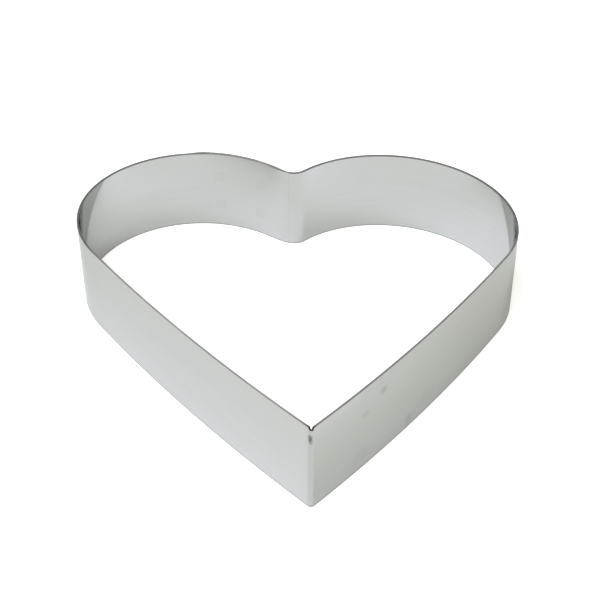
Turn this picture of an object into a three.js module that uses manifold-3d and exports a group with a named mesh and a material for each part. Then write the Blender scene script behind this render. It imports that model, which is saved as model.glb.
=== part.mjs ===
// Heart cake ring: one stainless strip on edge, bent to a heart and open at the top and bottom.
// The two ends of the strip lap on the left lobe and are held by spot welds.
// Millimetres, +Z up. Seen from above, the point of the heart is toward -Y and the cleft toward +Y.

import * as THREE from "three";
import { mergeVertices } from "three/addons/utils/BufferGeometryUtils.js";
import Module from "manifold-3d";

// Overall size, taken on the outer faces
const ringWidth = 197.5;
const ringLength = 197.5;
const ringHeight = 40;

// Strip
const stripThickness = 1;
const edgeRound = 0.1; // deburred top and bottom edges

// Bends, radii of the outer face
const lobeRadius = 55.6;
const sideRadius = 845; // the sides are bowed, not straight
const cleftRadius = 6.9;
const pointRadius = 1.6;
const lean = 0.06; // the hand-bent heart is out of true: plan drop per millimetre toward +X

// Lap of the strip's two ends on the left lobe
const lapLength = 53.5;
const lapInCleft = 3.5; // how far the inner end of the strip reaches into the cleft bend
const lapGap = 0.12;
const scarfLength = 8; // each end is ground thin on its open side, so that the lap leaves no step
const scarfEdge = 0.32; // thickness left at the very end

// Spot welds, in two columns near the two strip ends
const weldDiameter = 5;
const weldClearance = 0.25;
const weldSink = 0.1; // electrode mark below the face of the strip
const weldDimple = 0.08; // further depth at the middle of the mark
const weldToEnd = 16; // from a strip end to the middle of the nearest welds
const weldRowPitch = 16;

const chordError = 0.01; // how far a facet may lie from the true bend
const weldFacets = 32;

const wasm = await Module();
wasm.setup();

function arc(centre, radius, from, to) {
  return new THREE.EllipseCurve(centre.x, centre.y, radius, radius, from, to, to < from);
}

function angleTo(from, to) {
  return Math.atan2(to.y - from.y, to.x - from.x);
}

// Where a circle about a meets a circle about b, on the left of the way from a to b
function circlesMeet(a, radiusA, b, radiusB) {
  const way = b.clone().sub(a);
  const apart = way.length();
  way.normalize();
  const along = (radiusA ** 2 - radiusB ** 2 + apart ** 2) / (2 * apart);
  const aside = Math.sqrt(radiusA ** 2 - along ** 2);
  const left = new THREE.Vector2(-way.y, way.x);
  return a.clone().addScaledVector(way, along).addScaledVector(left, aside);
}

// Middle line of the strip as one closed heart, anticlockwise from the end of the cleft bend
function heartLine() {
  const half = stripThickness / 2;
  const point = new THREE.Vector2(0, pointRadius);
  const lobe = new THREE.Vector2(ringWidth / 2 - lobeRadius, ringLength - lobeRadius);
  const side = circlesMeet(point, sideRadius - pointRadius, lobe, sideRadius - lobeRadius);
  const cleftRise = Math.sqrt((lobeRadius + cleftRadius) ** 2 - lobe.x ** 2);
  const cleft = new THREE.Vector2(0, lobe.y + cleftRise);
  const leftLobe = new THREE.Vector2(-lobe.x, lobe.y);
  const leftSide = new THREE.Vector2(-side.x, side.y);

  const sideStart = angleTo(side, point);
  const sideEnd = angleTo(side, lobe);
  const lobeEnd = angleTo(lobe, cleft);
  const cleftStart = lobeEnd - Math.PI;

  const line = new THREE.CurvePath();
  line.add(arc(leftLobe, lobeRadius - half, Math.PI - lobeEnd, Math.PI - sideEnd));
  line.add(arc(leftSide, sideRadius - half, Math.PI - sideEnd, Math.PI - sideStart));
  line.add(arc(point, pointRadius - half, -Math.PI - sideStart, sideStart));
  line.add(arc(side, sideRadius - half, sideStart, sideEnd));
  line.add(arc(lobe, lobeRadius - half, sideEnd, lobeEnd));
  line.add(arc(cleft, cleftRadius + half, cleftStart, -Math.PI - cleftStart));
  return line;
}

const heart = heartLine();
const heartLength = heart.getLength();
const stripStart = -lapInCleft;
const stripEnd = stripStart + heartLength + lapLength;

// Point of the leaning heart at a distance along its middle line, past one full turn too
function heartPoint(distance) {
  const turn = ((distance % heartLength) + heartLength) % heartLength;
  const spot = heart.getPoint(turn / heartLength);
  return new THREE.Vector2(spot.x, spot.y - lean * spot.x);
}

function outward(distance) {
  const reach = 0.02;
  const way = heartPoint(distance + reach).sub(heartPoint(distance - reach)).normalize();
  return new THREE.Vector2(way.y, -way.x);
}

// Distance of the strip's middle from the heart line. In the lap the strip winds like a spiral:
// its start lies inside the line and its end outside, always one strip and one gap apart.
function layerShift(distance) {
  const apart = stripThickness + lapGap;
  const innerLayer = 1 - THREE.MathUtils.smoothstep(distance, stripStart, stripStart + lapLength);
  const outerLayer = THREE.MathUtils.smoothstep(distance, stripEnd - lapLength, stripEnd);
  return apart * (outerLayer - innerLayer);
}

function stripPoint(distance, offset) {
  return heartPoint(distance).addScaledVector(outward(distance), layerShift(distance) + offset);
}

// Metal ground off the open side near a strip end
function scarf(fromEnd) {
  const ground = 1 - THREE.MathUtils.smoothstep(fromEnd, 0, scarfLength);
  return (stripThickness - scarfEdge) * ground;
}

// Distances along the strip at which its faces have points, closer in tighter bends
function stations() {
  const marks = [];
  const cleft = heart.curves.at(-1);
  let along = -cleft.getLength();
  for (const bend of [cleft, ...heart.curves, heart.curves[0]]) {
    const length = bend.getLength();
    const facet = bend.xRadius * Math.sqrt((8 * chordError) / bend.xRadius);
    const steps = Math.ceil(length / facet);
    for (let step = 0; step < steps; step += 1) {
      marks.push(along + (length * step) / steps);
    }
    along += length;
  }
  const margin = stripThickness / 4;
  const inside = marks.filter((mark) => mark > stripStart + margin && mark < stripEnd - margin);
  return [stripStart, ...inside, stripEnd];
}

function toManifold(geometry) {
  geometry.deleteAttribute("normal");
  geometry.deleteAttribute("uv");
  const merged = mergeVertices(geometry, 1e-4);
  return new wasm.Manifold(
    new wasm.Mesh({
      numProp: 3,
      vertProperties: new Float32Array(merged.attributes.position.array),
      triVerts: new Uint32Array(merged.index.array),
    }),
  );
}

function toGeometry(solid) {
  const mesh = solid.getMesh();
  const geometry = new THREE.BufferGeometry();
  geometry.setAttribute("position", new THREE.BufferAttribute(mesh.vertProperties, 3));
  geometry.setIndex(new THREE.BufferAttribute(mesh.triVerts, 1));
  geometry.computeVertexNormals();
  return geometry;
}

// Strip on edge: its plan between the outer and the inner face, raised to the ring's height
function stripGeometry() {
  const half = stripThickness / 2;
  const marks = stations();
  const outerFace = marks.map((mark) => stripPoint(mark, half - scarf(stripEnd - mark)));
  const innerFace = marks.map((mark) => stripPoint(mark, scarf(mark - stripStart) - half)).reverse();
  const plan = new THREE.Shape([...outerFace, ...innerFace]);
  const geometry = new THREE.ExtrudeGeometry(plan, {
    depth: ringHeight - 2 * edgeRound,
    bevelThickness: edgeRound,
    bevelSize: edgeRound,
    bevelOffset: -edgeRound,
    bevelSegments: 2,
  });
  geometry.translate(0, 0, edgeRound);
  return geometry;
}

// Each weld: its name, its place along the heart line and its height
function weldSpots() {
  const columns = { crown: stripStart + lapLength - weldToEnd, cleft: stripStart + weldToEnd };
  const rows = { lower: -weldRowPitch / 2, upper: weldRowPitch / 2 };
  const spots = [];
  for (const [column, distance] of Object.entries(columns)) {
    for (const [row, rise] of Object.entries(rows)) {
      spots.push({ name: `spot_weld_${column}_${row}`, distance, height: ringHeight / 2 + rise });
    }
  }
  return spots;
}

// Turns a round shape from the Y axis to the strip's normal, midway between the two layers
function placeAtWeld(object, spot) {
  const outerLayer = stripPoint(spot.distance + heartLength, 0);
  const centre = stripPoint(spot.distance, 0).lerp(outerLayer, 0.5);
  const normal = outward(spot.distance);
  object.position.set(centre.x, centre.y, spot.height);
  object.quaternion.setFromUnitVectors(
    new THREE.Vector3(0, 1, 0),
    new THREE.Vector3(normal.x, normal.y, 0),
  );
  object.updateMatrix();
}

function weldHole(spot) {
  const radius = weldDiameter / 2 + weldClearance;
  const through = 4 * stripThickness + 2 * lapGap;
  const hole = new THREE.Mesh(new THREE.CylinderGeometry(radius, radius, through, weldFacets));
  placeAtWeld(hole, spot);
  return toManifold(hole.geometry.applyMatrix4(hole.matrix));
}

// Nugget through both layers, with a shallow round electrode mark at each end
function nuggetGeometry() {
  const radius = weldDiameter / 2;
  const reach = stripThickness + lapGap / 2 - weldSink;
  const profile = [];
  const rings = 4;
  for (let ring = 0; ring <= rings; ring += 1) {
    const share = ring / rings;
    profile.push(new THREE.Vector2(radius * share, -reach + weldDimple * (1 - share ** 2)));
  }
  const upper = profile.map((spot) => new THREE.Vector2(spot.x, -spot.y)).reverse();
  return new THREE.LatheGeometry([...profile, ...upper], weldFacets);
}

const steel = { color: 0xc9cac8, metalness: 0.95, roughness: 0.38 };
const weldSteel = { color: 0xb3b3b0, metalness: 0.9, roughness: 0.5 };

const ring = new THREE.Group();
ring.name = "heart_cake_ring";

let band = toManifold(stripGeometry());
for (const spot of weldSpots()) {
  band = band.subtract(weldHole(spot));
}
const heartBand = new THREE.Mesh(toGeometry(band), new THREE.MeshStandardMaterial(steel));
heartBand.name = "heart_band";
ring.add(heartBand);

for (const spot of weldSpots()) {
  const weld = new THREE.Mesh(nuggetGeometry(), new THREE.MeshStandardMaterial(weldSteel));
  weld.name = spot.name;
  placeAtWeld(weld, spot);
  ring.add(weld);
}

// The ring stands on its lower edge, centred on the origin
heartBand.geometry.computeBoundingBox();
const middle = heartBand.geometry.boundingBox.getCenter(new THREE.Vector3());
ring.position.set(-middle.x, -middle.y, 0);

export default ring;
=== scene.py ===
from math import atan2, ceil, cos, pi, radians, sin, sqrt

import bpy
from mathutils import Matrix, Vector


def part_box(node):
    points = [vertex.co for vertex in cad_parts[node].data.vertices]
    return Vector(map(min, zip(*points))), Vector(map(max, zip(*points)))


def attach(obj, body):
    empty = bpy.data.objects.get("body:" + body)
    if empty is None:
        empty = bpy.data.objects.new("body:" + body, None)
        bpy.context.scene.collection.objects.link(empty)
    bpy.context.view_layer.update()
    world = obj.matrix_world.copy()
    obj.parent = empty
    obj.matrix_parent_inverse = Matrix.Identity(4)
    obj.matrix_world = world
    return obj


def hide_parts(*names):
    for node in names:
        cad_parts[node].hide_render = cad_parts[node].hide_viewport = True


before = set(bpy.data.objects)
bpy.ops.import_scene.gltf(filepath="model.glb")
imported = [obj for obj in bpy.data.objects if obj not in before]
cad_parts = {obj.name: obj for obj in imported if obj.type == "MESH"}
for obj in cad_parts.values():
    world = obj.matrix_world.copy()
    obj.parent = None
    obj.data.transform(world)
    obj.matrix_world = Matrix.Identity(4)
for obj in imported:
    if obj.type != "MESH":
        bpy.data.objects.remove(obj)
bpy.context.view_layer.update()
print("frame loaded with", len(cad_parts), "CAD nodes")


# Small helpers for edit mode

# In degrees: edges sharper than the first are rounded, those softer than the second are shaded smooth
corners = dict(rounded=50, smooth=22)


def freshStart():
    bpy.ops.object.select_all(action="DESELECT")


def startPiece(name):
    piece = bpy.context.object
    piece.name = piece.data.name = name
    bpy.ops.object.transform_apply(location=True, rotation=True, scale=True)
    return piece


def pick(piece, kind, test):
    bpy.ops.object.mode_set(mode="EDIT")
    bpy.ops.mesh.select_mode(type=kind)
    bpy.ops.mesh.select_all(action="DESELECT")
    bpy.ops.object.mode_set(mode="OBJECT")
    parts = piece.data.vertices if kind == "VERT" else piece.data.polygons
    for part in parts:
        part.select = test(part)
    bpy.ops.object.mode_set(mode="EDIT")


def useModifier(piece, kind, **settings):
    bpy.context.view_layer.objects.active = piece
    modifier = piece.modifiers.new(kind.title(), kind)
    for key, value in settings.items():
        setattr(modifier, key, value)
    bpy.ops.object.modifier_apply(modifier=modifier.name)


def roundEdges(piece, width):
    sharp = radians(corners["rounded"])
    useModifier(piece, "BEVEL", width=width, segments=2, limit_method="ANGLE", angle_limit=sharp)


def smoothFaces(piece):
    freshStart()
    piece.select_set(True)
    bpy.context.view_layer.objects.active = piece
    bpy.ops.object.shade_smooth_by_angle(angle=radians(corners["smooth"]))


# A map along the strip and up it, in metres
def mapStrip(piece, spotOf):
    layer = piece.data.uv_layers.active or piece.data.uv_layers.new()
    layer.name = "strip"
    for loop in piece.data.loops:
        layer.data[loop.index].uv = spotOf(piece.data.vertices[loop.vertex_index])


def ease(share):
    share = min(max(share, 0.0), 1.0)
    return share * share * (3 - 2 * share)


# Small helpers for nodes

def addNode(tree, kind, inputs=None, **settings):
    node = tree.nodes.new(kind)
    for key, value in settings.items():
        setattr(node, key, value)
    for key, value in (inputs or {}).items():
        if isinstance(value, bpy.types.NodeSocket):
            tree.links.new(value, node.inputs[key])
        else:
            node.inputs[key].default_value = value
    return node


def calc(tree, operation, a, b=0.0):
    return addNode(tree, "ShaderNodeMath", {0: a, 1: b}, operation=operation).outputs[0]


def weigh(tree, a, shareA, b, shareB):
    return calc(tree, "ADD", calc(tree, "MULTIPLY", a, shareA), calc(tree, "MULTIPLY", b, shareB))


def ramp(tree, value, low, high, toLow=0.0, toHigh=1.0):
    inputs = {"Value": value, "From Min": low, "From Max": high, "To Min": toLow, "To Max": toHigh}
    return addNode(tree, "ShaderNodeMapRange", inputs, interpolation_type="SMOOTHSTEP").outputs[0]


def noise(tree, place, scale, detail, rough=0.5, distortion=0.0):
    inputs = {"Vector": place, "Scale": scale, "Detail": detail, "Roughness": rough,
              "Distortion": distortion}
    return addNode(tree, "ShaderNodeTexNoise", inputs).outputs[0]


def split(tree, vector):
    return addNode(tree, "ShaderNodeSeparateXYZ", {0: vector}).outputs


def mixColour(tree, factor, a, b):
    return addNode(tree, "ShaderNodeMix", {0: factor, 6: a, 7: b}, data_type="RGBA").outputs[2]


def opaque(colour):
    return (*colour, 1)


def newGroup(name, inputs, outputs):
    group = bpy.data.node_groups.new(name, "ShaderNodeTree")
    for label, kind in inputs.items():
        group.interface.new_socket(label, in_out="INPUT", socket_type="NodeSocket" + kind)
    for label, kind in outputs.items():
        group.interface.new_socket(label, in_out="OUTPUT", socket_type="NodeSocket" + kind)
    entry = group.nodes.new("NodeGroupInput").outputs
    leave = group.nodes.new("NodeGroupOutput").inputs
    return group, entry, leave


def placeGroup(tree, group, **inputs):
    return addNode(tree, "ShaderNodeGroup", inputs, node_tree=group).outputs


def newMaterial(name):
    material = bpy.data.materials.new(name)
    material.use_nodes = True
    material.node_tree.nodes.clear()
    return material


# Effects that several finishes share

def makeRollingGrain():
    inputs = {"Strip": "Vector", "Along": "Float", "Across": "Float"}
    group, entry, leave = newGroup("rollingGrain", inputs, {"Streaks": "Float", "Bands": "Float"})
    scales = {"X": entry["Along"], "Y": entry["Across"], "Z": 1.0}
    stretch = addNode(group, "ShaderNodeCombineXYZ", scales).outputs[0]
    stretched = {0: entry["Strip"], 1: stretch}
    spot = addNode(group, "ShaderNodeVectorMath", stretched, operation="MULTIPLY").outputs[0]
    group.links.new(ramp(group, noise(group, spot, 1.0, 4.0, 0.7), 0.3, 0.7), leave["Streaks"])
    group.links.new(ramp(group, noise(group, spot, 0.11, 2.0), 0.3, 0.7), leave["Bands"])
    return group


def makeHandlingMarks():
    inputs = {"Place": "Vector", "Size": "Float", "Cover": "Float"}
    group, entry, leave = newGroup("handlingMarks", inputs, {"Haze": "Float"})
    scaled = {0: entry["Place"], 3: calc(group, "DIVIDE", 1.0, entry["Size"])}
    spot = addNode(group, "ShaderNodeVectorMath", scaled, operation="SCALE").outputs[0]
    cloud = noise(group, spot, 1.0, 3.0, 0.6, 0.6)
    edge = calc(group, "SUBTRACT", 0.75, calc(group, "MULTIPLY", entry["Cover"], 0.5))
    group.links.new(ramp(group, calc(group, "SUBTRACT", cloud, edge), 0.0, 0.2), leave["Haze"])
    return group


def makeRimWear():
    inputs = {"Place": "Vector", "Height": "Float", "Reach": "Float"}
    group, entry, leave = newGroup("rimWear", inputs, {"Worn": "Float"})
    up = split(group, entry["Place"])["Z"]
    nearest = calc(group, "MINIMUM", calc(group, "SUBTRACT", entry["Height"], up), up)
    share = calc(group, "DIVIDE", nearest, entry["Reach"])
    chips = noise(group, entry["Place"], 900.0, 3.0)
    broken = calc(group, "ADD", share, calc(group, "MULTIPLY", chips, 0.8))
    group.links.new(ramp(group, broken, 1.4, 0.5), leave["Worn"])
    return group


def makeSoftSpot():
    inputs = {key: "Float" for key in ("Along", "Up", "Length", "Height")}
    group, entry, leave = newGroup("softSpot", {"Strip": "Vector", **inputs}, {"Spot": "Float"})
    at = split(group, entry["Strip"])
    a = calc(group, "DIVIDE", calc(group, "SUBTRACT", at["X"], entry["Along"]), entry["Length"])
    b = calc(group, "DIVIDE", calc(group, "SUBTRACT", at["Y"], entry["Up"]), entry["Height"])
    away = calc(group, "SQRT", weigh(group, a, a, b, b))
    ragged = calc(group, "SUBTRACT", noise(group, entry["Strip"], 420.0, 2.0), 0.5)
    away = calc(group, "ADD", away, calc(group, "MULTIPLY", ragged, 0.6))
    group.links.new(ramp(group, away, 1.0, 0.15), leave["Spot"])
    return group


rollingGrain = makeRollingGrain()
handlingMarks = makeHandlingMarks()
rimWear = makeRimWear()
softSpot = makeSoftSpot()


def grainAt(tree, strip, along, across):
    return placeGroup(tree, rollingGrain, Strip=strip, Along=along, Across=across)


def hazeAt(tree, place, size, cover):
    return placeGroup(tree, handlingMarks, Place=place, Size=size, Cover=cover)["Haze"]


def spotAt(tree, place, along, up, length, height):
    sizes = dict(Along=along, Up=up, Length=length, Height=height)
    return placeGroup(tree, softSpot, Strip=place, **sizes)["Spot"]


print("shared effects made")


# Finishes

steelLook = dict(
    pale=(0.65, 0.66, 0.652), dull=(0.618, 0.627, 0.615), worn=(0.69, 0.69, 0.68),
    grazing=(0.8, 0.81, 0.79),
    roughness=(0.07, 0.11), bump=0.000001,
    grain=(60.0, 5200.0),  # streaks to the metre, along the strip and across it
    haze=(0.045, 0.35),  # size and cover of the handling marks
    wear=(0.04, 0.0004),  # height of the rim, and how far its wear reaches
    # the dark colour of the painted shade: the spots, the line under the rim and the foot line
    paintedShade=(0.14, 0.145, 0.125),
    rimLine=(0.0394, 0.0397, 0.8),  # start and full height, strength; under the rim on the inner face
    lapFrom=(0.03, 0.065),  # where along the strip the line under the rim begins
    footShade=(0.0009, 0.0003, 0.42),  # as the rim line; painted shade along the lower edge, where the contact shadow falls
    shadeSpots=(  # painted shade spots: along the strip, up it, length, height, strength; all on the outer face
        (0.3501, 0.0319, 0.0032, 0.0030, 0.25),
        (0.3386, 0.0267, 0.0034, 0.0026, 0.13),
        (0.3690, 0.0040, 0.0036, 0.0040, 0.20),
        (0.3066, 0.0346, 0.0010, 0.0038, 0.9),  # painted shade beside the fold's top, where the rim dips
        (0.3066, 0.0180, 0.0017, 0.0900, 0.14),  # the fold itself, a little dulled by the bending, with painted shade over it
        (0.3361, 0.0075, 0.0090, 0.0050, 0.08),
        (0.3823, 0.0085, 0.0100, 0.0055, 0.08),
    ),
)


def makeStripSteel(look):
    material = newMaterial("strip_steel")
    tree = material.node_tree
    strip = addNode(tree, "ShaderNodeUVMap", uv_map="strip").outputs[0]
    place = addNode(tree, "ShaderNodeTexCoord").outputs["Object"]
    outside = addNode(tree, "ShaderNodeAttribute", attribute_name="outerFace").outputs["Fac"]
    grain = grainAt(tree, strip, *look["grain"])
    haze = hazeAt(tree, place, *look["haze"])
    height, reach = look["wear"]
    worn = placeGroup(tree, rimWear, Place=place, Height=height, Reach=reach)["Worn"]

    tone = weigh(tree, grain["Streaks"], 0.45, grain["Bands"], 0.25)
    tone = calc(tree, "SUBTRACT", tone, calc(tree, "MULTIPLY", haze, 0.25))
    colour = mixColour(tree, ramp(tree, tone, 0.0, 0.7), opaque(look["dull"]), opaque(look["pale"]))
    colour = mixColour(tree, calc(tree, "MULTIPLY", worn, 0.4), colour, opaque(look["worn"]))

    # Painted shade spots on the outer face, by the point and down the right side
    paintedShade = 0.0
    for *spot, strength in look["shadeSpots"]:
        paintedShade = calc(tree, "MAXIMUM", calc(tree, "MULTIPLY", spotAt(tree, strip, *spot), strength), paintedShade)
    paintedShade = calc(tree, "MULTIPLY", paintedShade, outside)
    along, up = split(tree, strip)[:2]
    start, full, strength = look["rimLine"]
    inside = calc(tree, "SUBTRACT", 1.0, outside)
    line = calc(tree, "MULTIPLY", ramp(tree, up, start, full, 0.0, strength), inside)
    line = calc(tree, "MULTIPLY", line, ramp(tree, along, *look["lapFrom"]))
    paintedShade = calc(tree, "MAXIMUM", paintedShade, line)
    # Painted shade along the foot, where the contact shadow falls
    start, full, strength = look["footShade"]
    paintedShade = calc(tree, "MAXIMUM", paintedShade, ramp(tree, up, start, full, 0.0, strength))
    # Painted shade: the spots, the line under the rim and the foot line darken the steel
    colour = mixColour(tree, paintedShade, colour, opaque(look["paintedShade"]))

    rough = ramp(tree, weigh(tree, grain["Streaks"], 0.6, haze, 0.6), 0.0, 1.2, *look["roughness"])
    rough = calc(tree, "ADD", rough, calc(tree, "MULTIPLY", paintedShade, 0.25))
    relief = {"Height": grain["Streaks"], "Distance": look["bump"], "Strength": 1.0}
    finish = {"Base Color": colour, "Metallic": 1.0, "Roughness": rough,
              "Specular Tint": opaque(look["grazing"]),
              "Normal": addNode(tree, "ShaderNodeBump", relief).outputs[0]}
    steel = addNode(tree, "ShaderNodeBsdfPrincipled", finish)
    addNode(tree, "ShaderNodeOutputMaterial", {"Surface": steel.outputs[0]})
    return material


edgeLook = dict(
    dark=(0.105, 0.106, 0.102), pale=(0.18, 0.181, 0.176),
    roughness=(0.34, 0.5), bump=0.00001,
    grain=(2600.0, 400.0), haze=(0.012, 0.5),
    paintedHighlight=(0.25, 0.248, 0.238),
    frontFrom=(0.03, 0.0),  # painted highlight on the front of the rim, up to this place along Y
    bright=(0.36, 0.357, 0.345),
    leftFrom=(0.0, -0.01),  # brightest on the left, where the light comes from, from here along X
    lap=(-0.022, 0.09, 0.048, 0.032),  # X, Y and reach of the part where the two layers lie together
    lapShare=0.5,  # and how much of the left's brightness it has
    tip=(0.0, -0.0995, 0.003, 0.003),  # the same for the painted shade at the tip, where the rim dips at the fold
    tipShade=(0.05, 0.05, 0.047),
)


def makeShearedEdge(look):
    material = newMaterial("sheared_edge")
    tree = material.node_tree
    strip = addNode(tree, "ShaderNodeUVMap", uv_map="strip").outputs[0]
    place = addNode(tree, "ShaderNodeTexCoord").outputs["Object"]
    cuts = grainAt(tree, strip, *look["grain"])
    haze = hazeAt(tree, place, *look["haze"])
    tone = weigh(tree, cuts["Streaks"], 0.5, haze, 0.5)
    colour = mixColour(tree, tone, opaque(look["dark"]), opaque(look["pale"]))

    # Painted highlight on the rim: lighter at the front, brightest on the left where the light comes from,
    # and over the lap where the doubled top catches the sky
    x, y = split(tree, place)[:2]
    front = ramp(tree, y, *look["frontFrom"])
    left = calc(tree, "MULTIPLY", front, ramp(tree, x, *look["leftFrom"]))
    lap = spotAt(tree, place, *look["lap"])
    most = calc(tree, "MAXIMUM", left, calc(tree, "MULTIPLY", lap, look["lapShare"]))
    highlightColour = mixColour(tree, most, opaque(look["paintedHighlight"]), opaque(look["bright"]))
    uneven = calc(tree, "ADD", calc(tree, "MULTIPLY", tone, 0.5), 0.6)
    paintedHighlight = calc(tree, "MULTIPLY", calc(tree, "MAXIMUM", front, lap), uneven)
    colour = mixColour(tree, paintedHighlight, colour, highlightColour)
    # Painted shade on the rim at the tip, where it dips at the fold
    colour = mixColour(tree, spotAt(tree, place, *look["tip"]), colour, opaque(look["tipShade"]))

    rough = ramp(tree, cuts["Streaks"], 0.0, 1.0, *look["roughness"])
    relief = {"Height": cuts["Streaks"], "Distance": look["bump"], "Strength": 1.0}
    finish = {"Base Color": colour, "Metallic": 1.0, "Roughness": rough,
              "Normal": addNode(tree, "ShaderNodeBump", relief).outputs[0]}
    steel = addNode(tree, "ShaderNodeBsdfPrincipled", finish)
    addNode(tree, "ShaderNodeOutputMaterial", {"Surface": steel.outputs[0]})
    return material


weldLook = dict(
    pale=(0.645, 0.655, 0.646), dull=(0.612, 0.621, 0.609), straw=(0.612, 0.618, 0.598),
    grazing=(0.8, 0.81, 0.79),
    roughness=(0.09, 0.14), bump=0.000003,
    grain=(60.0, 5200.0), haze=(0.0016, 0.5),
    rings=26000.0,  # fine turning marks of the electrode
    strawFrom=(0.0008, 0.0024, 0.2, 0.6),  # from and to this distance from the middle, with this much straw
)


def makeWeldSteel(look):
    material = newMaterial("weld_steel")
    tree = material.node_tree
    strip = addNode(tree, "ShaderNodeUVMap", uv_map="strip").outputs[0]
    place = addNode(tree, "ShaderNodeTexCoord").outputs["Object"]
    fromAxis = addNode(tree, "ShaderNodeAttribute", attribute_name="fromAxis").outputs["Fac"]
    grain = grainAt(tree, strip, *look["grain"])
    haze = hazeAt(tree, place, *look["haze"])
    ripple = calc(tree, "SINE", calc(tree, "MULTIPLY", fromAxis, look["rings"]))
    tone = weigh(tree, grain["Streaks"], 0.7, ripple, 0.08)
    colour = mixColour(tree, ramp(tree, tone, 0.0, 0.8), opaque(look["dull"]), opaque(look["pale"]))
    cloudy = calc(tree, "ADD", calc(tree, "MULTIPLY", haze, 0.6), 0.2)
    tint = calc(tree, "MULTIPLY", ramp(tree, fromAxis, *look["strawFrom"]), cloudy)
    colour = mixColour(tree, tint, colour, opaque(look["straw"]))

    rough = ramp(tree, weigh(tree, haze, 0.5, grain["Streaks"], 0.5), 0.0, 1.0, *look["roughness"])
    relief = {"Height": tone, "Distance": look["bump"], "Strength": 1.0}
    finish = {"Base Color": colour, "Metallic": 1.0, "Roughness": rough,
              "Specular Tint": opaque(look["grazing"]),
              "Normal": addNode(tree, "ShaderNodeBump", relief).outputs[0]}
    steel = addNode(tree, "ShaderNodeBsdfPrincipled", finish)
    addNode(tree, "ShaderNodeOutputMaterial", {"Surface": steel.outputs[0]})
    return material


stripSteel = makeStripSteel(steelLook)
shearedEdge = makeShearedEdge(edgeLook)
weldSteel = makeWeldSteel(weldLook)
print("finishes made")


# The strip, wound round the heart from its inner end to its outer end

strip = dict(
    width=0.1975, length=0.1975, height=0.040, thickness=0.001,  # outer faces
    lobeRadius=0.0556, sideRadius=0.845, cleftRadius=0.0069, pointRadius=0.0016,
    lean=0.06,  # the hand-bent heart is out of true
    lapLength=0.0535, lapInCleft=0.0035, lapGap=0.00002,
    scarfLength=0.008, scarfEdge=0.00003,  # the ends are ground thin on their open side
    pointDip=0.0012,  # how far the tight fold draws the rim down at the point
    edgeRound=0.0001,
    edgeBand=0.0005, edgeTilt=0.15,  # tilted faces this near the rim or the foot are the cut edge
    rows=8, facet=0.0011, sideFacet=0.004, cleftFacet=0.0003, pointFacet=0.0001,
)


def circlesMeet(a, radiusA, b, radiusB):
    way = b - a
    apart = way.length
    along = (radiusA ** 2 - radiusB ** 2 + apart ** 2) / (2 * apart)
    aside = sqrt(radiusA ** 2 - along ** 2)
    way.normalize()
    return a + way * along + Vector((-way.y, way.x)) * aside


def angleTo(a, b):
    return atan2(b.y - a.y, b.x - a.x)


def heartBends(s):
    half = s["thickness"] / 2
    lobeRadius, sideRadius = s["lobeRadius"], s["sideRadius"]
    point = Vector((0, s["pointRadius"]))
    lobe = Vector((s["width"] / 2 - lobeRadius, s["length"] - lobeRadius))
    side = circlesMeet(point, sideRadius - s["pointRadius"], lobe, sideRadius - lobeRadius)
    cleft = Vector((0, lobe.y + sqrt((lobeRadius + s["cleftRadius"]) ** 2 - lobe.x ** 2)))
    sideStart, sideEnd, lobeEnd = angleTo(side, point), angleTo(side, lobe), angleTo(lobe, cleft)
    flip = Vector((-1, 1))
    # centre, radius of the strip's middle, first and last angle, length of a facet
    return {
        "leftLobe": (lobe * flip, lobeRadius - half, pi - lobeEnd, pi - sideEnd, s["facet"]),
        "leftSide": (side * flip, sideRadius - half, pi - sideEnd, pi - sideStart, s["sideFacet"]),
        "point": (point, s["pointRadius"] - half, -pi - sideStart, sideStart, s["pointFacet"]),
        "rightSide": (side, sideRadius - half, sideStart, sideEnd, s["sideFacet"]),
        "rightLobe": (lobe, lobeRadius - half, sideEnd, lobeEnd, s["facet"]),
        "cleft": (cleft, s["cleftRadius"] + half, lobeEnd - pi, -lobeEnd, s["cleftFacet"]),
    }


def windStrip(s):
    bends = heartBends(s)
    marks = [0.0]  # distance along the strip of each column of points
    spans = {}  # and where each bend begins and ends

    def wind(name, first=None, last=None):
        about, reach, a, b, facet = bends[name]
        a = a if first is None else first
        b = b if last is None else last
        steps = ceil(abs(b - a) * reach / facet)
        middle = (about.x, about.y, 0)
        # spin turns the other way, so its axis points down
        bpy.ops.mesh.spin(steps=steps, angle=b - a, center=middle, axis=(0, 0, -1))
        begin = marks[-1]
        for step in range(steps):
            marks.append(begin + abs(b - a) * reach * (step + 1) / steps)
        spans[name] = (begin, marks[-1])

    # One upright edge at the inner end, in the cleft bend, cut into rows
    freshStart()
    about, reach, a, b, facet = bends["cleft"]
    inner = b + s["lapInCleft"] / reach
    start = about + reach * Vector((cos(inner), sin(inner)))
    size = s["height"]
    middle = (start.x + size / 2, start.y, size / 2)
    bpy.ops.mesh.primitive_plane_add(size=size, location=middle, rotation=(pi / 2, 0, 0))
    band = startPiece("heart_band_steel")
    pick(band, "VERT", lambda vert: vert.co.x > middle[0])
    bpy.ops.mesh.delete(type="VERT")
    bpy.ops.mesh.select_all(action="SELECT")
    bpy.ops.mesh.subdivide(number_cuts=s["rows"] - 1)

    # Once round the heart and on to the outer end
    wind("cleft", first=inner)
    for name in ("leftLobe", "leftSide", "point", "rightSide", "rightLobe", "cleft"):
        wind(name)
    about, reach, a, b, facet = bends["leftLobe"]
    wind("leftLobe", last=a + (s["lapLength"] - s["lapInCleft"]) / reach)
    bpy.ops.object.mode_set(mode="OBJECT")
    mapStrip(band, lambda vert: (marks[vert.index // (s["rows"] + 1)], vert.co.z))
    return band, marks, spans


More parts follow.
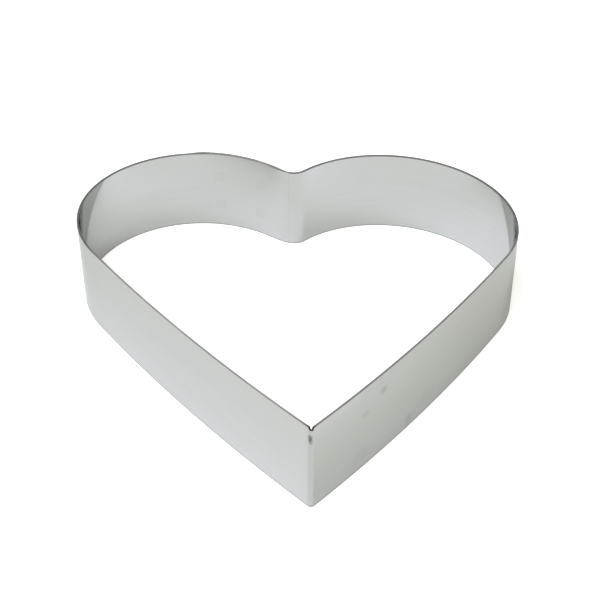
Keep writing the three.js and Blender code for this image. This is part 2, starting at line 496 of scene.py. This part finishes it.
def makeHeartBand(s):
    band, marks, spans = windStrip(s)
    column = s["rows"] + 1
    count = len(band.data.vertices)
    total = marks[-1]

    # Foot of each column and the way outward there
    def readColumns():
        feet = [band.data.vertices[k * column].co.copy() for k in range(len(marks))]
        ways = [feet[min(k + 1, len(marks) - 1)] - feet[max(k - 1, 0)] for k in range(len(marks))]
        return feet, [Vector((way.y, -way.x, 0)).normalized() for way in ways]

    def pushColumns(pushes, chosen):
        for k, push in pushes.items():
            pick(band, "VERT", lambda vert: chosen(vert) and vert.index % count // column == k)
            bpy.ops.transform.translate(value=outward[k] * push)
            bpy.ops.object.mode_set(mode="OBJECT")

    # The hand-bent lean
    band.data.transform(Matrix(((1, 0, 0, 0), (-s["lean"], 1, 0, 0), (0, 0, 1, 0), (0, 0, 0, 1))))

    # In the lap the strip winds like a spiral, its start inside the heart line and its end outside
    feet, outward = readColumns()
    apart = s["thickness"] + s["lapGap"]
    lap = {}
    for k, mark in enumerate(marks):
        if mark < s["lapLength"]:
            lap[k] = -apart * (1 - ease(mark / s["lapLength"]))
        if total - mark < s["lapLength"]:
            lap[k] = apart * (1 - ease((total - mark) / s["lapLength"]))
    pushColumns(lap, lambda vert: True)
    feet, outward = readColumns()
    rimRow = max(range(column), key=lambda row: band.data.vertices[row].co.z)

    # Thickness, then the ends ground thin
    pick(band, "FACE", lambda face: True)
    bpy.ops.mesh.normals_make_consistent(inside=False)
    bpy.ops.object.mode_set(mode="OBJECT")
    useModifier(band, "SOLIDIFY", thickness=s["thickness"], offset=0.0, use_even_offset=True)
    probe = len(marks) // 3
    across = band.data.vertices[probe * column].co - band.data.vertices[probe * column + count].co
    firstIsOuter = across.dot(outward[probe]) > 0
    outer = {vert.index for vert in band.data.vertices if (vert.index < count) == firstIsOuter}
    side = band.data.attributes.new("outerFace", "FLOAT", "POINT")
    for vert in band.data.vertices:
        side.data[vert.index].value = float(vert.index in outer)
    ground = s["thickness"] - s["scarfEdge"]
    early = {}
    late = {}
    for k, mark in enumerate(marks):
        if mark < s["scarfLength"]:
            early[k] = ground * (1 - ease(mark / s["scarfLength"]))
        if total - mark < s["scarfLength"]:
            late[k] = -ground * (1 - ease((total - mark) / s["scarfLength"]))
    pushColumns(early, lambda vert: vert.index not in outer)
    pushColumns(late, lambda vert: vert.index in outer)

    # The rim dips where the point is folded
    foldStart, foldEnd = spans["point"]
    for k, mark in enumerate(marks):
        share = (mark - foldStart) / (foldEnd - foldStart)
        if 0 < share < 1:
            pick(band, "VERT", lambda vert: vert.index % count == k * column + rimRow)
            bpy.ops.transform.translate(value=(0, 0, -s["pointDip"] * ease(1.5 - abs(3 * share - 1.5))))
            bpy.ops.object.mode_set(mode="OBJECT")
    roundEdges(band, s["edgeRound"])

    # Into the CAD box
    low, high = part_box("heart_band")
    points = [vert.co for vert in band.data.vertices]
    least = Vector([min(p[k] for p in points) for k in range(3)])
    most = Vector([max(p[k] for p in points) for k in range(3)])
    fit = [min(1.0, (high[k] - low[k]) / (most[k] - least[k])) for k in range(3)]
    band.data.transform(Matrix.Translation(-(least + most) / 2))
    band.data.transform(Matrix.Diagonal((*fit, 1.0)))
    band.data.transform(Matrix.Translation((low + high) / 2))
    shift = (low + high) / 2 - (least + most) / 2
    return band, [foot + shift for foot in feet], outward, marks


heartBand, stripFeet, stripOutward, stripMarks = makeHeartBand(strip)
print("strip wound,", len(heartBand.data.polygons), "faces in", len(stripFeet), "columns")


# Weld nuggets through both layers of the lap

weld = dict(
    radius=0.0025, facets=40, reach=0.00101,
    rings=3, rim=0.0004, dish=0.00002, round=0.00001,
    clearance=0.00001, cutter=0.006,
)


def makeNugget(w, bend):
    freshStart()
    bpy.ops.mesh.primitive_cylinder_add(vertices=w["facets"], radius=w["radius"], depth=2 * w["reach"])
    nugget = startPiece("weld_nugget")
    for step in range(w["rings"]):  # each ring a little deeper, as a round electrode leaves it
        for end in (1, -1):
            inner = w["radius"] * (1 - step / w["rings"]) * 1.01  # a little over, for rounding
            pick(nugget, "FACE", lambda face: face.normal.z * end > 0.9
                 and all(nugget.data.vertices[v].co.xy.length < inner for v in face.vertices)
                 and len(face.vertices) > 8)
            bpy.ops.mesh.inset(thickness=w["radius"] / w["rings"] if step else w["rim"])
            bpy.ops.transform.translate(value=(0, 0, -end * w["dish"] / (1 + step)))
            bpy.ops.object.mode_set(mode="OBJECT")
    roundEdges(nugget, w["round"])
    away = nugget.data.attributes.new("fromAxis", "FLOAT", "POINT")
    for vert in nugget.data.vertices:
        away.data[vert.index].value = vert.co.xy.length
        vert.co.z -= vert.co.x ** 2 / (2 * bend)  # both ends follow the lobe's curve
    nugget.data.materials.append(weldSteel)
    return nugget


# Square to the lap and midway between its layers
def standAt(node):
    low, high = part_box(node)
    middle = (low + high) / 2
    firstHalf = range(len(stripFeet) // 2)
    k = min(firstHalf, key=lambda index: (stripFeet[index].xy - middle.xy).length)
    out = stripOutward[k]
    betweenLayers = (strip["thickness"] + strip["lapGap"]) / 2
    middle += out * (betweenLayers - out.xy.dot(middle.xy - stripFeet[k].xy))
    turn = out.to_track_quat("Z", "Y").to_matrix().to_4x4()
    return Matrix.Translation(middle) @ turn, stripMarks[k]


def cutHole(piece, place, w):
    freshStart()
    radius = w["radius"] + w["clearance"]
    bpy.ops.mesh.primitive_cylinder_add(vertices=w["facets"], radius=radius, depth=w["cutter"])
    cutter = startPiece("weld_hole")
    cutter.data.transform(place)
    useModifier(piece, "BOOLEAN", operation="DIFFERENCE", solver="EXACT", object=cutter)
    bpy.data.objects.remove(cutter)


weldNodes = [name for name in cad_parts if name.startswith("spot_weld")]
nugget = makeNugget(weld, strip["lobeRadius"])
for name in weldNodes:
    place, mark = standAt(name)
    cutHole(heartBand, place, weld)
    freshStart()
    nugget.select_set(True)
    bpy.context.view_layer.objects.active = nugget
    bpy.ops.object.duplicate()
    copy = bpy.context.object
    copy.name = copy.data.name = name + "_nugget"
    rise = place.translation.z
    # the strip's grain goes on over the weld
    mapStrip(copy, lambda vert: (mark - vert.co.x, rise + vert.co.y))
    copy.data.transform(place)
    smoothFaces(copy)
    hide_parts(name)
    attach(copy, "root")
bpy.data.objects.remove(nugget)
print("welds set:", ", ".join(weldNodes))


def finishBand(band, s):
    band.data.materials.clear()
    band.data.materials.append(stripSteel)
    band.data.materials.append(shearedEdge)
    for face in band.data.polygons:
        heights = [band.data.vertices[v].co.z for v in face.vertices]
        onRim = min(heights) > s["height"] - s["pointDip"] - s["edgeBand"]
        onFoot = max(heights) < s["edgeBand"]
        if abs(face.normal.z) > s["edgeTilt"] and (onRim or onFoot):
            face.material_index = 1
    smoothFaces(band)


finishBand(heartBand, strip)
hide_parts("heart_band")
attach(heartBand, "root")
print("strip finished")


# Floor, light and camera

studio = dict(
    floorSize=6.0, floorColour=(0.9, 0.9, 0.9, 1),
    lift=0.5,  # the floor's glow to the camera alone
    fill=(0.455, 0.446, 0.355), lampAway=3.0, lampSize=1.3,
    lamps={  # azimuth, elevation, power, colour
        "key": (165, 50, 18.0, (0.73, 0.75, 1.0)),
        "high": (165, 70, 15.5, (0.94, 0.95, 1.0)),
        "front": (240, 60, 37.2, (0.92, 0.935, 1.0)),
    },
)


def makeFloor(look):
    freshStart()
    bpy.ops.mesh.primitive_plane_add(size=look["floorSize"])
    floor = bpy.context.object
    floor.name = "studio_floor"
    material = newMaterial("studio_floor")
    tree = material.node_tree
    rays = addNode(tree, "ShaderNodeLightPath").outputs
    lift = calc(tree, "MULTIPLY", rays["Is Camera Ray"], look["lift"])
    paint = addNode(tree, "ShaderNodeBsdfDiffuse", {"Color": look["floorColour"]})
    glow = addNode(tree, "ShaderNodeEmission", {"Color": (1, 1, 1, 1), "Strength": lift})
    both = addNode(tree, "ShaderNodeAddShader", {0: paint.outputs[0], 1: glow.outputs[0]})
    addNode(tree, "ShaderNodeOutputMaterial", {"Surface": both.outputs[0]})
    floor.data.materials.append(material)


def makeLight(look):
    world = bpy.data.worlds.new("studio_world")
    bpy.context.scene.world = world
    world.use_nodes = True
    tree = world.node_tree
    tree.nodes.clear()
    rays = addNode(tree, "ShaderNodeLightPath").outputs
    mirrored = calc(tree, "MAXIMUM", rays["Is Glossy Ray"], rays["Is Transmission Ray"])
    shown = calc(tree, "MAXIMUM", rays["Is Camera Ray"], mirrored)
    colour = mixColour(tree, shown, opaque(look["fill"]), (1, 1, 1, 1))
    sky = addNode(tree, "ShaderNodeBackground", {"Color": colour, "Strength": 1.0})
    addNode(tree, "ShaderNodeOutputWorld", {"Surface": sky.outputs[0]})

    for name, (azimuth, elevation, power, colour) in look["lamps"].items():
        azimuth, elevation = radians(azimuth), radians(elevation)
        light = bpy.data.lights.new(name, "AREA")
        light.shape = "DISK"
        light.size = look["lampSize"]
        light.energy = power
        light.color = colour
        lamp = bpy.data.objects.new(name, light)
        bpy.context.scene.collection.objects.link(lamp)
        away = Vector((cos(elevation) * cos(azimuth), cos(elevation) * sin(azimuth), sin(elevation)))
        lamp.location = away * look["lampAway"]
        lamp.rotation_euler = (-away).to_track_quat("-Z", "Y").to_euler()


view = dict(
    target=(0.001205, 0.031791, 0.0), distance=0.59228, azimuth=-2.3069, elevation=36.4478,
    lens=76.886, sensor=36, clipStart=0.01,
)


def makeCamera(look):
    camera = bpy.data.objects.new("camera", bpy.data.cameras.new("camera"))
    bpy.context.scene.collection.objects.link(camera)
    azimuth, elevation = radians(look["azimuth"]), radians(look["elevation"])
    back = Vector((cos(elevation) * sin(azimuth), -cos(elevation) * cos(azimuth), sin(elevation)))
    camera.location = Vector(look["target"]) + back * look["distance"]
    camera.rotation_euler = (pi / 2 - elevation, 0, azimuth)
    camera.data.lens = look["lens"]
    camera.data.sensor_width = look["sensor"]
    camera.data.clip_start = look["clipStart"]
    bpy.context.scene.camera = camera


makeFloor(studio)
makeLight(studio)
makeCamera(view)
bpy.context.scene.view_settings.view_transform = "Standard"
print("studio and camera set")
